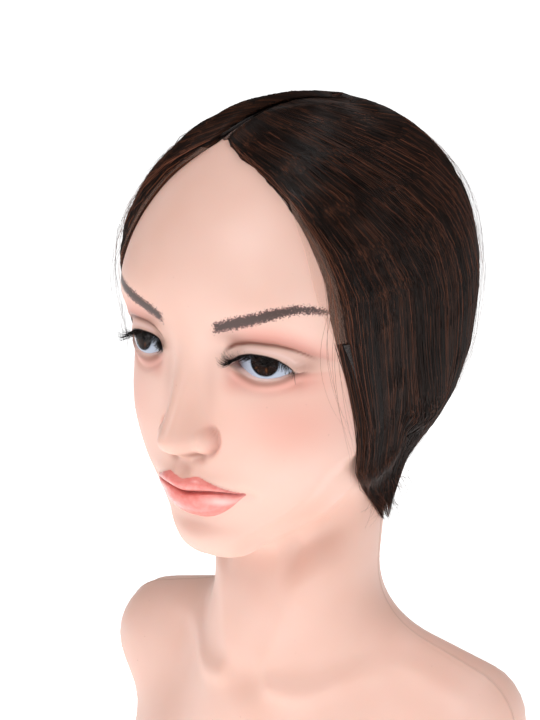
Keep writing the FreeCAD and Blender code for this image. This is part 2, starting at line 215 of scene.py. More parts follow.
def skinAt(theta, ring, level=0.0, fine=True):
    # points of the skin, or of a layer that lies level outside it
    p = rayOut(theta, ring, lambda q: plainForm(q) - level)
    x, y, z = p[..., 0], p[..., 1], p[..., 2]
    facing = ease(62, 30, y) * ease(-112, -100, z)
    y = y - features(x, z) * facing
    side = np.abs(x)
    lid = (eye["radius"] + eye["lid"] + min(level, 0)) ** 2 - (side - eye["centre"][0]) ** 2
    lid = lid - (z - eye["centre"][2]) ** 2
    front = eye["centre"][1] - np.sqrt(np.maximum(lid, 0))
    y = np.where((lid > 0) & (y < 29), blend(y, front, 3.0), y)
    if fine:
        upper, lower, middle, fold = lidHeights(side)
        overEye = ease(15, 20, side) * ease(54, 47, side) * (y < 29)
        y = y + 1.3 * bell(z - fold, 0.8) * overEye                                 # crease of the upper lid
        y = y - 1.0 * bell(z - fold - 2.6, 2.1) * overEye
        y = y + 0.5 * bell(z - lower + 4.6, 1.4) * overEye
        # ear: rim, inner ridge and bowl, pushed out sideways
        a, b = (y - 83) / 14, (z + 12) / 27
        rho = np.sqrt(a * a + b * b)
        onEar = ease(58, 62, side) * (rho < 1.3)
        out = 2.2 * bell(rho - 0.86, 0.13) * ease(0.9, 0.2, b * 0 + np.abs(a - 0.75) * (b > 0.2))
        out = out + 1.4 * bell(np.sqrt((a - 0.1) ** 2 + (b + 0.05) ** 2) - 0.5, 0.12)
        out = out - 3.2 * np.exp(-((a + 0.12) / 0.34) ** 2 - ((b + 0.2) / 0.3) ** 2)
        x = x + np.sign(x) * out * onEar
        # collar bones, hollow between them, and the neck's two cords
        bone = -177 + 0.17 * side - 8 * bell(side - 30, 16)
        ahead = ease(92, 70, y)
        y = y - 3.2 * bell(z - bone, 6.5) * ease(6, 16, side) * ease(92, 66, side) * ahead
        y = y + 2.6 * np.exp(-(side / 8) ** 2 - ((z + 176) / 9) ** 2) * ahead
        y = y + 1.6 * bell(z + 166, 9) * bell(side - 44, 20) * ahead
        cord = np.clip(40 + (z + 80) * 0.33, 8, 40)
        y = y - 1.5 * bell(side - cord, 7) * ease(-176, -160, z) * ease(-96, -112, z) * ease(84, 70, y)
        # under the jaw the surface falls back to the neck
        jaw = curveThrough([(0, -101), (20, -88), (36, -76.5), (46, -65.5), (51, -57), (60, -46)], side)
        r = np.hypot(x, 92 - y) + 0.1
        fall = 5 * ease(1.5, -7, z - jaw) * ease(-42, -20, z - jaw) * ease(78, 58, y) * ease(12, 24, side) / r
        x = x - x * fall
        y = y + (92 - y) * fall
        # flash line of the mould, where front and back meet
        flash = 0.35 * np.exp(-((y - seamY) / 0.9) ** 2) * ease(-60, -80, z)
        x = x + np.sign(x) * flash
        z = z + flash * ease(-150, -170, z)
    return np.stack([x, y, z], -1)


# materials

def linear(hexColour):
    # sRGB hex to linear RGBA
    parts = [int(hexColour[i:i + 2], 16) / 255 for i in (1, 3, 5)]
    return [p / 12.92 if p <= 0.04045 else ((p + 0.055) / 1.055) ** 2.4 for p in parts] + [1.0]


def newMaterial(name):
    material = bpy.data.materials.new(name)
    material.use_nodes = True
    return material, material.node_tree.nodes["Principled BSDF"]


def addNode(material, kind, settings=None, **inputs):
    # a node with its settings and its input values or links; x_y stands for the input "X Y"
    node = material.node_tree.nodes.new("ShaderNode" + kind)
    for key, value in (settings or {}).items():
        setattr(node, key, value)
    for key, value in inputs.items():
        numbered = key[0] == "i" and key[1:].isdigit()
        socket = node.inputs[int(key[1:])] if numbered else node.inputs[key.replace("_", " ")]
        link(material, value, socket)
    return node


def link(material, value, socket):
    if isinstance(value, bpy.types.NodeSocket):
        material.node_tree.links.new(value, socket)
    else:
        socket.default_value = value


def ramp(material, value, *stops):
    # colour ramp: stops are (place, hex colour or grey level)
    node = addNode(material, "ValToRGB", i0=value)
    points = node.color_ramp.elements
    while len(points) < len(stops):
        points.new(0.5)
    for point, (position, colour) in zip(points, stops):
        point.position = position
        point.color = linear(colour) if isinstance(colour, str) else (colour, colour, colour, 1)
    return node.outputs["Color"]


def mixColour(material, amount, first, second, mode="MIX"):
    node = addNode(material, "Mix", {"data_type": "RGBA", "blend_type": mode}, Factor=amount)
    for value, socket in ((first, node.inputs[6]), (second, node.inputs[7])):
        link(material, linear(value) if isinstance(value, str) else value, socket)
    return node.outputs[2]


def maths(material, operation, first, second=0.0, third=0.0):
    return addNode(material, "Math", {"operation": operation}, i0=first, i1=second, i2=third).outputs[0]


def noise(material, size, detail=3.0, rough=0.5, vector=None):
    # size is the pattern's grain in millimetres
    where = vector or addNode(material, "TexCoord").outputs["Object"]
    texture = addNode(material, "TexNoise", Vector=where, Scale=1000 / size, Detail=detail, Roughness=rough)
    return texture.outputs[0]


def bump(material, height, strength, depth, normal=None):
    # depth is in millimetres
    node = addNode(material, "Bump", Strength=strength, Distance=depth / 1000, Height=height)
    if normal is not None:
        link(material, normal, node.inputs["Normal"])
    return node.outputs["Normal"]


def attribute(material, name):
    return addNode(material, "Attribute", {"attribute_name": name}).outputs["Fac"]


def skinPaint():
    # satin acrylic lacquer sprayed on the moulding, airbrushed make-up, painted shade and painted highlights:
    # soft gloss, a faint spray grain
    material, shader = newMaterial("sprayed satin lacquer")
    cloud = noise(material, 46, 2)
    colour = ramp(material, cloud, (0.3, "#edbfae"), (0.7, "#f2cabc"))
    # blush make-up on the cheeks, and painted shade round the nose's wings
    blushAndShade = attribute(material, "blushAndShade")
    colour = mixColour(material, blushAndShade, colour, "#e8998b")
    colour = mixColour(material, attribute(material, "eyeShadow"), colour, "#d98275")
    # brown make-up, and painted shade in creases, nostrils and along the seam
    colour = mixColour(material, attribute(material, "smudgeAndShade"), colour, "#8c5546")
    uneven = maths(material, "SUBTRACT", noise(material, 0.55, 2, 0.7), 0.5)
    liner = maths(material, "MULTIPLY_ADD", uneven, 0.35, attribute(material, "liner"))
    colour = mixColour(material, ramp(material, liner, (0.3, 0.0), (0.75, 1.0)), colour, "#33211d")
    # brows: short stencilled strokes, so the edge is broken by fine noise
    ragged = maths(material, "SUBTRACT", noise(material, 0.8, 3, 0.7), 0.5)
    brow = maths(material, "MULTIPLY_ADD", ragged, 4.6, attribute(material, "brow"))
    edge = ramp(material, brow, (0.0, 0.0), (0.16, 0.7), (0.8, 0.95))
    browTone = ramp(material, brow, (0.1, "#7a3f42"), (0.6, "#402a2b"), (1.0, "#3a2a29"))
    colour = mixColour(material, edge, colour, browTone)
    lipEdge = ramp(material, attribute(material, "lips"), (0.42, 0.0), (0.58, 1.0))
    lipTone = ramp(material, noise(material, 3.0, 3), (0.35, "#ea8780"), (0.65, "#f19a92"))
    # painted shade along the line between the lips
    lipTone = mixColour(material, attribute(material, "mouthLineShade"), lipTone, "#b2554f")
    colour = mixColour(material, lipEdge, colour, lipTone)
    # painted highlights on the lower lip, the lids and the lower lids' margins
    colour = mixColour(material, attribute(material, "paintedHighlight"), colour, "#fcd9d3")
    speck = noise(material, 1.6, 1)
    colour = mixColour(material, ramp(material, speck, (0.795, 0.0), (0.83, 0.35)), colour, "#a06a58")
    link(material, colour, shader.inputs["Base Color"])
    rough = addNode(material, "Mix", {"data_type": "FLOAT"}, i0=lipEdge, i2=0.44, i3=0.2).outputs[0]
    link(material, rough, shader.inputs["Roughness"])
    shader.inputs["Specular IOR Level"].default_value = 0.42
    shader.inputs["Subsurface Weight"].default_value = 0.12
    shader.inputs["Subsurface Radius"].default_value = (1.0, 0.35, 0.2)
    shader.inputs["Subsurface Scale"].default_value = 0.006
    spray = bump(material, noise(material, 0.8, 2), 0.12, 0.05)
    onObject = addNode(material, "TexCoord").outputs["Object"]
    wrinkle = addNode(material, "Mapping", Vector=onObject, Scale=(3.0, 1.0, 0.35))
    lines = maths(material, "MULTIPLY", noise(material, 2.2, 2, vector=wrinkle.outputs[0]), lipEdge)
    link(material, bump(material, lines, 0.5, 0.35, spray), shader.inputs["Normal"])
    return material


def plainPaint():
    # the same lacquer behind the seam, without make-up
    material, shader = newMaterial("sprayed satin lacquer, back")
    cloud = noise(material, 46, 2)
    colour = ramp(material, cloud, (0.3, "#edbfae"), (0.7, "#f2cabc"))
    speck = noise(material, 1.6, 1)
    colour = mixColour(material, ramp(material, speck, (0.795, 0.0), (0.83, 0.35)), colour, "#a06a58")
    link(material, colour, shader.inputs["Base Color"])
    rough = ramp(material, noise(material, 30, 2), (0.3, 0.44), (0.7, 0.48))
    link(material, rough, shader.inputs["Roughness"])
    shader.inputs["Specular IOR Level"].default_value = 0.42
    shader.inputs["Subsurface Weight"].default_value = 0.12
    shader.inputs["Subsurface Radius"].default_value = (1.0, 0.35, 0.2)
    shader.inputs["Subsurface Scale"].default_value = 0.006
    link(material, bump(material, noise(material, 0.8, 2), 0.12, 0.05), shader.inputs["Normal"])
    return material


def fibreHair(name="heat-set fibre hair", dark="#0c0604", middle="#20110b", light="#5e3725"):
    # drawn modacrylic fibre: near black in shade, red brown where the light goes through it
    material, shader = newMaterial(name)
    tone = attribute(material, "tone")
    colour = ramp(material, tone, (0.0, dark), (0.55, middle), (1.0, light))
    link(material, colour, shader.inputs["Base Color"])
    rough = ramp(material, tone, (0.0, 0.34), (1.0, 0.42))
    link(material, rough, shader.inputs["Roughness"])
    shader.inputs["Specular IOR Level"].default_value = 0.16
    return material


# mesh tools

def deselect():
    if bpy.context.object and bpy.context.object.mode != "OBJECT":
        bpy.ops.object.mode_set(mode="OBJECT")
    bpy.ops.object.select_all(action="DESELECT")


def coordinates(mesh):
    flat = np.empty(len(mesh.vertices) * 3)
    mesh.vertices.foreach_get("co", flat)
    return flat.reshape(-1, 3)


def setCoordinates(mesh, points):
    mesh.vertices.foreach_set("co", np.ascontiguousarray(points, float).ravel())
    mesh.update()


def setAttribute(mesh, name, values):
    layer = mesh.attributes.new(name, "FLOAT", "POINT")
    layer.data.foreach_set("value", np.ascontiguousarray(values, np.float32))


def pick(piece, kind, chosen):
    # goes into edit mode with just these edges or faces of the piece selected
    deselect()
    bpy.context.view_layer.objects.active = piece
    piece.select_set(True)
    mesh = piece.data
    for part in (mesh.vertices, mesh.edges, mesh.polygons):
        part.foreach_set("select", np.zeros(len(part), bool))
    getattr(mesh, kind).foreach_set("select", chosen)
    bpy.context.tool_settings.mesh_select_mode = (False, kind == "edges", kind == "polygons")
    bpy.ops.object.mode_set(mode="EDIT")


def finish(piece, name, material, body, slot, *replaced):
    piece.name = piece.data.name = name
    piece.data.materials.clear()
    piece.data.materials.append(material)
    piece.data.polygons.foreach_set("use_smooth", [True] * len(piece.data.polygons))
    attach(piece, body)
    if replaced:
        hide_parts(*replaced)
    return piece


def gridPiece(columns, rows):
    # flat grid whose vertices are then moved to their places; returns it with each vertex's column and row
    deselect()
    bpy.ops.mesh.primitive_grid_add(x_subdivisions=len(columns) - 1, y_subdivisions=len(rows) - 1, size=2)
    piece = bpy.context.object
    flat = coordinates(piece.data)
    column = np.rint((flat[:, 0] + 1) / 2 * (len(columns) - 1)).astype(int)
    row = np.rint((1 - flat[:, 1]) / 2 * (len(rows) - 1)).astype(int)
    return piece, column, row


def spaced(*stretches):
    # one rising list from stretches of (start, end, step)
    values = []
    for start, end, step in stretches:
        count = max(int(round((end - start) / step)), 1)
        values.extend(np.linspace(start, end, count, endpoint=False))
    values.append(stretches[-1][1])
    return np.array(values)


# mouldings

def ringOfHeight(height, low=0.0, high=0.7):
    # ring that passes through this height on the face's side, away from the nose
    for _ in range(20):
        middle = (low + high) / 2
        z = rayOut(np.array([radians(20)]), np.array([middle]), plainForm)[0, 2]
        low, high = (middle, high) if z > height else (low, middle)
    return low


def makeup(mesh, p):
    # painted regions, as values on the vertices: make-up, painted shade and painted highlights; p in
    # millimetres in the head's frame
    x, y, z = np.abs(p[:, 0]), p[:, 1], p[:, 2]
    onFace = (y < 45) & (z > -112) & (z < 70)
    up, down = lipPlace(x, z)
    line, bow, lower = (curveThrough(lip[k], x) for k in ("line", "bow", "lower"))
    inside = np.minimum(bow - z, z - lower)
    inside = np.where(x < lip["corner"], inside, -(x - lip["corner"]) - 0.3)
    setAttribute(mesh, "lips", np.clip(0.5 + inside * 0.5 * onFace - 2 * ~onFace, 0, 1))
    # painted shade along the line between the lips
    setAttribute(mesh, "mouthLineShade", bell(z - line + 0.2, 0.8) * (x < lip["corner"]) * onFace * 0.8)
    # brow: distance inside its outline, in half thicknesses
    spine = curveThrough([(12, 14.0), (22, 17.6), (32, 21.0), (42, 24.3), (49.7, 25.7), (56, 23.6),
                          (63, 19)], x)
    half = curveThrough([(14, 2.6), (20, 3.0), (32, 3.1), (42, 2.7), (50, 2.1), (56, 1.5), (63, 0.5)], x)
    brow = np.minimum(half - np.abs(z - spine), np.minimum((x - 13.8) * 0.9, 62.5 - x))
    setAttribute(mesh, "brow", np.where(onFace, np.clip(brow / 1.6, -2, 2), -2))
    upper, lower, middle, fold = lidHeights(x)
    beside = ease(13.5, 22, x) * ease(60, 46, x)
    shadow = 0.62 * ease(0, 2, z - fold) * ease(15, 2, z - fold) * ease(17, 34, x) * ease(62, 48, x)
    shadow += 0.5 * ease(-18, -10, z) * ease(0, -1.5, z - lower) * beside
    setAttribute(mesh, "eyeShadow", np.clip(shadow, 0, 1) * onFace)
    # brown make-up round the eyes; in the lid's crease it is also painted shade
    smudgeAndShade = 0.9 * bell(z - fold - 0.1, 0.95) * ease(16, 20, x) * ease(53, 46, x)
    smudgeAndShade += 0.4 * bell(z - fold - 1.2, 3.0) * ease(16, 24, x) * ease(58, 49, x)
    smudgeAndShade += 0.75 * bell(z - lower + 0.5, 1.7) * ease(17, 24, x) * ease(50, 45, x) * (z < middle)
    # painted shade under the brow's inner end
    smudgeAndShade += 0.4 * np.exp(-((x - 21) / 7) ** 2 - ((z - 11.5) / 4.5) ** 2)
    # brown make-up at the eye's outer corner
    smudgeAndShade += 0.55 * np.exp(-((x - 48) / 4.5) ** 2 - ((z + 2.5) / 4.5) ** 2)
    # painted shade beside the nose, in the nostrils, round the nose's wing and in the fold over the chin
    smudgeAndShade += 0.16 * np.exp(-((x - 11.5) / 3.5) ** 2 - ((z + 12) / 16) ** 2)
    smudgeAndShade += 0.7 * bell(z + 45.3, 2.0) * bell(x - 6.5, 5) * (y < 0)
    wing = np.sqrt(((x - 9.4) / 6.0) ** 2 + ((z + 38.0) / 7.2) ** 2)
    smudgeAndShade += 0.36 * bell(wing - 1.0, 0.13) * ease(11, 14, x) * ease(-26, -32, z) * (y < 8)
    smudgeAndShade += 0.16 * np.exp(-(x / 13) ** 2 - ((z + 83.5) / 4) ** 2)
    # painted shade along the mould seam, low on the neck
    setAttribute(mesh, "smudgeAndShade", np.clip(smudgeAndShade, 0, 1) * onFace + 0.3 * bell(y - seamY, 0.8) * (z < -70))
    liner = 1.0 * bell(z - upper - 0.2, 0.8) * ease(17.5, 20, x) * ease(46.6, 44.4, x)
    liner += 0.35 * bell(z - lower + 0.2, 0.6) * ease(24, 38, x) * ease(48, 46, x)
    setAttribute(mesh, "liner", np.clip(liner, 0, 1) * onFace)
    blushAndShade = 0.42 * np.exp(-((x - 44) / 17) ** 2 - ((z + 30) / 15) ** 2)
    # painted shade round the nose's wing
    blushAndShade += 0.35 * bell(wing - 1.0, 0.25) * ease(9, 13, x) * (y < 8)
    setAttribute(mesh, "blushAndShade", np.clip(blushAndShade, 0, 1) * onFace)
    # painted highlights: on the lower lip, and on the lid between its fold and its edge
    paintedHighlight = 0.75 * np.exp(-((x - 16) / 5.5) ** 2 - ((z + 67.4) / 1.9) ** 2) * (down > 0.1)
    paintedHighlight += 0.6 * bell(z - 0.45 * fold - 0.55 * upper, 0.8) * ease(22, 27, x) * ease(49, 44, x)
    setAttribute(mesh, "paintedHighlight", np.clip(paintedHighlight, 0, 1) * onFace)


lidRim = []     # the upper lid's edge and the skin beside it, from the right to the left
shell = {"fineTurn": 38, "fineStep": 0.41, "coarseStep": 1.35}     # degrees between the front's columns


def frontMoulding():
    rings = {h: ringOfHeight(h) for h in (46, -1.9, -2.4, -102)}
    rows = spaced((0.0, rings[46], 0.0052), (rings[46], rings[-1.9], 0.0019), (rings[-1.9], rings[-2.4], 1),
                  (rings[-2.4], rings[-102], 0.00148), (rings[-102], 0.72, 0.005),
                  (0.72, 0.82, 0.0032), (0.82, 1.0, 0.006))
    split = int(np.argmin(np.abs(rows - rings[-1.9])))
    fine, coarse = shell["fineTurn"], shell["coarseStep"]
    turns = spaced((-90, -87, 0.6), (-87, -fine, coarse), (-fine, fine, shell["fineStep"]),
                   (fine, 87, coarse), (87, 90, 0.6))
    print("front moulding:", len(turns), "columns,", len(rows), "rows")
    theta, ring = np.meshgrid(np.radians(turns), rows, indexing="ij")
    p = skinAt(theta, ring)
    # rows by the eyes are drawn apart to the lids' edges
    x, z = np.abs(p[..., 0]), p[..., 2]
    upper, lower, middle, _ = lidHeights(x)
    inEye = (x > eye["inner"]) & (x < eye["outer"]) & (p[..., 1] < 29)
    rowZ = z[:, split][:, None]
    above = (np.arange(len(rows)) <= split)[None, :]
    away = np.clip(np.abs(z - rowZ) / 20, 0, 1)
    lift = np.where(above, upper - rowZ, lower - z[:, split + 1][:, None])
    near = ease(12, eye["inner"], x) * ease(56, eye["outer"], x)
    lift = np.where(inEye, lift, (middle - rowZ)) * (1 - away) ** 2 * near
    moved = z + lift * (p[..., 1] < 29)
    # find the skin's depth at the new heights, column by column
    for c in range(len(turns)):
        if np.abs(lift[c]).max() < 1e-3:
            continue
        order = np.argsort(z[c, : split + 120])
        part = slice(0, split + 120)
        for axis in (0, 1):
            p[c, part, axis] = np.interp(moved[c, part], z[c, part][order], p[c, part, axis][order])
        p[c, part, 2] = moved[c, part]
    lidRim.extend(p[np.argsort(p[:, split, 0]), split])
    piece, column, row = gridPiece(turns, rows)
    mesh = piece.data
    points = p[column, row]
    setCoordinates(mesh, place(points))
    makeup(mesh, points)
    # the slit between the two rows is opened
    starts = np.empty(len(mesh.polygons), int)
    mesh.polygons.foreach_get("loop_start", starts)
    corners = np.empty(len(mesh.loops), int)
    mesh.loops.foreach_get("vertex_index", corners)
    quads = corners[starts[:, None] + np.arange(4)]
    slit = (row[quads].min(1) == split) & (row[quads].max(1) == split + 1)
    xs = np.abs(points[quads][..., 0].mean(1))
    slit &= (xs > eye["inner"] + 0.3) & (xs < eye["outer"] - 0.2)
    pick(piece, "polygons", slit)
    bpy.ops.mesh.delete(type="ONLY_FACE")
    bpy.ops.object.mode_set(mode="OBJECT")
    rimInward(piece)
    outward(piece)
    return finish(piece, "frontMoulding", skinPaint(), "bust", "skin", "front_shell")


def setRim(mesh, first, step):
    # the margins get a painted highlight below and painted shade that deepens inward; above they hide in the
    # lash line
    values = np.empty(len(mesh.vertices), np.float32)
    height = (coordinates(mesh)[first:, 2] - headOrigin[2]) * 1000
    for name, above, below in (("liner", 1.0, 0.0), ("smudgeAndShade", 0.3, 0.1 + 0.2 * step), ("paintedHighlight", 0.0, 0.8),
                               ("eyeShadow", 0.0, 0.2)):
        layer = mesh.attributes[name]
        layer.data.foreach_get("value", values)
        values[first:] = np.where(height > -2.2, above, below)
        layer.data.foreach_set("value", values)


def openEdges(mesh):
    # which edges have one face only, and the two ends of every edge
    corners = np.empty(len(mesh.loops), int)
    mesh.loops.foreach_get("edge_index", corners)
    ends = np.empty(len(mesh.edges) * 2, int)
    mesh.edges.foreach_get("vertices", ends)
    return np.bincount(corners, minlength=len(mesh.edges)) == 1, ends.reshape(-1, 2)


def rimInward(piece):
    # the lids' edges and the bottom edge are carried inward, so that the moulding shows its wall there
    mesh = piece.data
    border, ends = openEdges(mesh)
    middle = ((coordinates(mesh) - headOrigin) * 1000)[ends].mean(1)
    lids = border & (np.abs(middle[:, 0]) < 50) & (np.abs(middle[:, 2]) < 15) & (middle[:, 1] < 25)
    foot = middle[:, 2] < rimZ + 2
    if lids.any():
        # each lid's margin slopes back to the ball, then carries on behind its front
        for step in (0, 1):
            pick(piece, "edges", lids)
            was = len(mesh.vertices)
            bpy.ops.mesh.extrude_edges_move()
            bpy.ops.object.mode_set(mode="OBJECT")
            p = (coordinates(mesh) - headOrigin) * 1000
            rim = p[was:]
            side, centre = np.sign(rim[:, 0]), np.array(eye["centre"])
            rim[:, 2] += np.where(rim[:, 2] < -4.2, 1.5, 0.2) * (1 - step) * ease(19, 24, np.abs(rim[:, 0]))
            away = rim - centre * np.stack([side, side * 0 + 1, side * 0 + 1], -1)
            onBall = eye["radius"] + 0.05 - 1.2 * step
            reach = np.sqrt(np.maximum(onBall ** 2 - away[:, 0] ** 2 - away[:, 2] ** 2, 1))
            rim[:, 1] = np.maximum(centre[1] - reach, rim[:, 1] + 0.3)
            p[was:] = rim
            setCoordinates(mesh, place(p))
            setRim(mesh, was, step)
            lids = (openEdges(mesh)[1] >= was).all(1)
        border = openEdges(mesh)[0]
        foot = np.append(foot, np.zeros(len(mesh.edges) - len(foot), bool))
    pick(piece, "edges", border & foot)
    bpy.ops.mesh.extrude_edges_move()
    bpy.ops.transform.resize(value=(0.965, 0.94, 1), center_override=(0, 0.015, 0))
    bpy.ops.object.mode_set(mode="OBJECT")


def outward(piece, centre=(0, 0, 0.2)):
    # faces are made to agree, and an open sheet that came out turned round is flipped away from centre
    pick(piece, "polygons", np.ones(len(piece.data.polygons), bool))
    bpy.ops.mesh.normals_make_consistent(inside=False)
    bpy.ops.object.mode_set(mode="OBJECT")
    away = sum((f.center - Vector(centre)).normalized().dot(f.normal) * f.area for f in piece.data.polygons)
    if away < 0:
        bpy.ops.object.mode_set(mode="EDIT")
        bpy.ops.mesh.flip_normals()
        bpy.ops.object.mode_set(mode="OBJECT")


def rearMoulding():
    turns = spaced((90, 100, 0.9), (100, 260, 2.2), (260, 270, 0.9))
    rows = spaced((0.0, 0.66, 0.006), (0.66, 0.82, 0.004), (0.82, 1.0, 0.007))
    theta, ring = np.meshgrid(np.radians(turns), rows, indexing="ij")
    p = skinAt(theta, ring)
    piece, column, row = gridPiece(turns, rows)
    setCoordinates(piece.data, place(p[column, row]))
    rimInward(piece)
    outward(piece)
    return finish(piece, "rearMoulding", plainPaint(), "bust", "skin", "rear_shell")


frontMoulding()
rearMoulding()
print("mouldings made")

# eyes

def turned(profile, segments, side):
    # outline (radius, forward) turned about the eye's line of sight, on the left (1) or right (-1) eye
    turns = np.arange(segments + 1)
    piece, column, row = gridPiece(turns, profile)
    radius, forward = np.array(profile).T
    a = 2 * pi * (column % segments) / segments
    tilt, lift = radians(eye["turn"]), radians(eye["raise"])
    sight = np.array([side * sin(tilt) * cos(lift), -cos(tilt) * cos(lift), sin(lift)])
    level = np.array([cos(tilt), side * sin(tilt), 0])
    upward = np.cross(level, sight) * (1 if np.cross(level, sight)[2] > 0 else -1)
    centre = np.array(eye["centre"]) * (side, 1, 1)
    local = radius[row][:, None] * (np.cos(a)[:, None] * level + np.sin(a)[:, None] * upward)
    points = centre + local + forward[row][:, None] * sight
    setCoordinates(piece.data, place(points))
    grain = np.stack([np.cos(a) * 2.2, np.sin(a) * 2.2, radius[row] * 0.16], -1)
    layer = piece.data.attributes.new("grain", "FLOAT_VECTOR", "POINT")
    layer.data.foreach_set("vector", grain.astype(np.float32).ravel())
    setAttribute(piece.data, "radius", radius[row] / eye["iris"])
    pick(piece, "polygons", np.ones(len(piece.data.polygons), bool))
    bpy.ops.mesh.remove_doubles(threshold=1e-6)
    bpy.ops.object.mode_set(mode="OBJECT")
    outward(piece, place(centre))
    return piece


def arc(radius, start, end, count, behind=0.0):
    # points (distance off the axis, forward) of a ball's outline between two distances off the axis
    return [(r, (radius ** 2 - r ** 2) ** 0.5 + behind) for r in np.linspace(start, end, count)]


def eyeWhite():
    # polished acrylic, blue-white, under a thick clear coat; pinker towards the corners
    material, shader = newMaterial("polished acrylic sclera")
    reach = attribute(material, "radius")
    colour = ramp(material, maths(material, "MULTIPLY", reach, 0.45), (0.45, "#3c4250"), (0.5, "#a7b2c6"),
                  (0.8, "#bcc5d6"), (1.0, "#c9a5a4"))
    veins = maths(material, "MULTIPLY", noise(material, 2.5, 4), 0.16)
    colour = mixColour(material, veins, colour, "#aab8d8")
    link(material, colour, shader.inputs["Base Color"])
    link(material, bump(material, noise(material, 4, 2), 0.1, 0.1), shader.inputs["Normal"])
    shader.inputs["Roughness"].default_value = 0.12
    shader.inputs["Coat Weight"].default_value = 1.0
    shader.inputs["Coat Roughness"].default_value = 0.03
    return material


def irisPrint():
    # dark brown printed iris with orange-brown flecks that run outward, darker at its rim
    material, shader = newMaterial("printed iris")
    grain = addNode(material, "Attribute", {"attribute_name": "grain"}).outputs["Vector"]
    reach = attribute(material, "radius")
    fibres = addNode(material, "TexNoise", Vector=grain, Scale=4.2, Detail=5.0, Roughness=0.75).outputs[0]
    flecks = addNode(material, "TexNoise", Vector=grain, Scale=1.7, Detail=4.0, Roughness=0.7).outputs[0]
    colour = ramp(material, fibres, (0.38, "#0d0706"), (0.56, "#2b160e"), (0.7, "#5b2f1a"))
    spots = maths(material, "MULTIPLY", ramp(material, flecks, (0.57, 0.0), (0.66, 1.0)),
                  ramp(material, reach, (0.4, 0.0), (0.5, 1.0), (0.84, 1.0), (0.93, 0.0)))
    colour = mixColour(material, maths(material, "MULTIPLY", spots, 0.85), colour, "#a35c2c")
    colour = mixColour(material, ramp(material, reach, (0.36, 1.0), (0.44, 0.0)), colour, "#050404")
    colour = mixColour(material, ramp(material, reach, (0.82, 0.0), (0.98, 0.92)), colour, "#0a0606")
    link(material, colour, shader.inputs["Base Color"])
    link(material, bump(material, fibres, 0.4, 0.15), shader.inputs["Normal"])
    shader.inputs["Roughness"].default_value = 0.3
    shader.inputs["Specular IOR Level"].default_value = 0.12
    return material


def clearDome():
    # cast clear acrylic: nothing but gloss
    material, shader = newMaterial("cast clear acrylic")
    haze = ramp(material, noise(material, 3, 2), (0.3, 0.0), (0.7, 0.012))
    link(material, haze, shader.inputs["Roughness"])
    shader.inputs["Base Color"].default_value = (1, 1, 1, 1)
    shader.inputs["Transmission Weight"].default_value = 1.0
    shader.inputs["IOR"].default_value = 1.12
    return material


def makeEyes():
    white, printed, clear = eyeWhite(), irisPrint(), clearDome()
    ball, iris = eye["radius"], eye["iris"]
    edge = (ball ** 2 - iris ** 2) ** 0.5
    for side, name in ((1, "left"), (-1, "right")):
        shellLine = [(iris, edge - 0.6)] + arc(ball, iris, 15.4, 26) + arc(ball - 1.8, 14.6, 9, 6)
        ballPiece = turned(shellLine, 72, side)
        finish(ballPiece, "eyeWhite." + name, white, "bust", "eye_white", "eye_white_" + name)
        disc = [(0.02, 15.1), (1.2, 15.12), (eye["pupil"] - 0.1, 15.2), (eye["pupil"] + 0.1, 15.55)]
        disc += [(r, 15.55 + 0.12 * (r - 2)) for r in np.linspace(2.6, iris - 0.03, 12)]
        finish(turned(disc, 96, side), "iris." + name, printed, "bust", "iris", "iris_" + name)
        rise = 18.6 - edge
        bend = (iris ** 2 + rise ** 2) / (2 * rise)
        domeLine = arc(bend, 0.02, iris - 0.02, 14, 18.6 - bend) + [(iris - 0.04, edge - 0.35)]
        domeLine += [(r, edge - 0.35) for r in (4.5, 2.0, 0.02)]
        finish(turned(domeLine, 64, side), "cornea." + name, clear, "bust", "cornea", "cornea_" + name)


makeEyes()
print("eyes made")


# strands: hair and lashes

def strands(paths, widths, out, tone, name):
    # three-sided tapered fibres; paths is (fibre, point, xyz) in mm, out the direction off the surface
    count, length = paths.shape[:2]
    along = np.gradient(paths, axis=1)
    along /= np.linalg.norm(along, axis=2, keepdims=True) + 1e-9
    across = np.cross(along, out)
    across /= np.linalg.norm(across, axis=2, keepdims=True) + 1e-9
    rise = np.cross(across, along)
    w = widths[..., None] / 2
    ring = np.stack([paths - across * w, paths + across * w, paths + rise * w * 1.3], 2)
    corners = np.arange(count * length * 3).reshape(count, length, 3)
    a, b = corners[:, :-1], corners[:, 1:]
    walls = [np.stack([a[..., i], b[..., i], b[..., j], a[..., j]], -1).reshape(-1, 4)
             for i, j in ((0, 1), (1, 2), (2, 0))]
    quads = np.concatenate(walls)
    caps = np.concatenate([corners[:, 0, ::-1], corners[:, -1]])
    mesh = bpy.data.meshes.new(name)
    mesh.vertices.add(count * length * 3)
    mesh.loops.add(quads.size + caps.size)
    mesh.polygons.add(len(quads) + len(caps))
    mesh.vertices.foreach_set("co", place(ring.reshape(-1, 3)).ravel())
    mesh.loops.foreach_set("vertex_index", np.concatenate([quads.ravel(), caps.ravel()]).astype(np.int32))
    starts = np.concatenate([np.arange(len(quads)) * 4, quads.size + np.arange(len(caps)) * 3])
    mesh.polygons.foreach_set("loop_start", starts.astype(np.int32))
    mesh.update(calc_edges=True)
    mesh.validate()
    setAttribute(mesh, "tone", np.repeat(tone, length * 3))
    piece = bpy.data.objects.new(name, mesh)
    bpy.context.scene.collection.objects.link(piece)
    return piece


def lashFibre():
    # matt black synthetic mink
    return fibreHair("black lash fibre", "#050405", "#050405", "#0c0808")


lashes = {"hairs": 250, "length": 9.4, "width": 0.2}


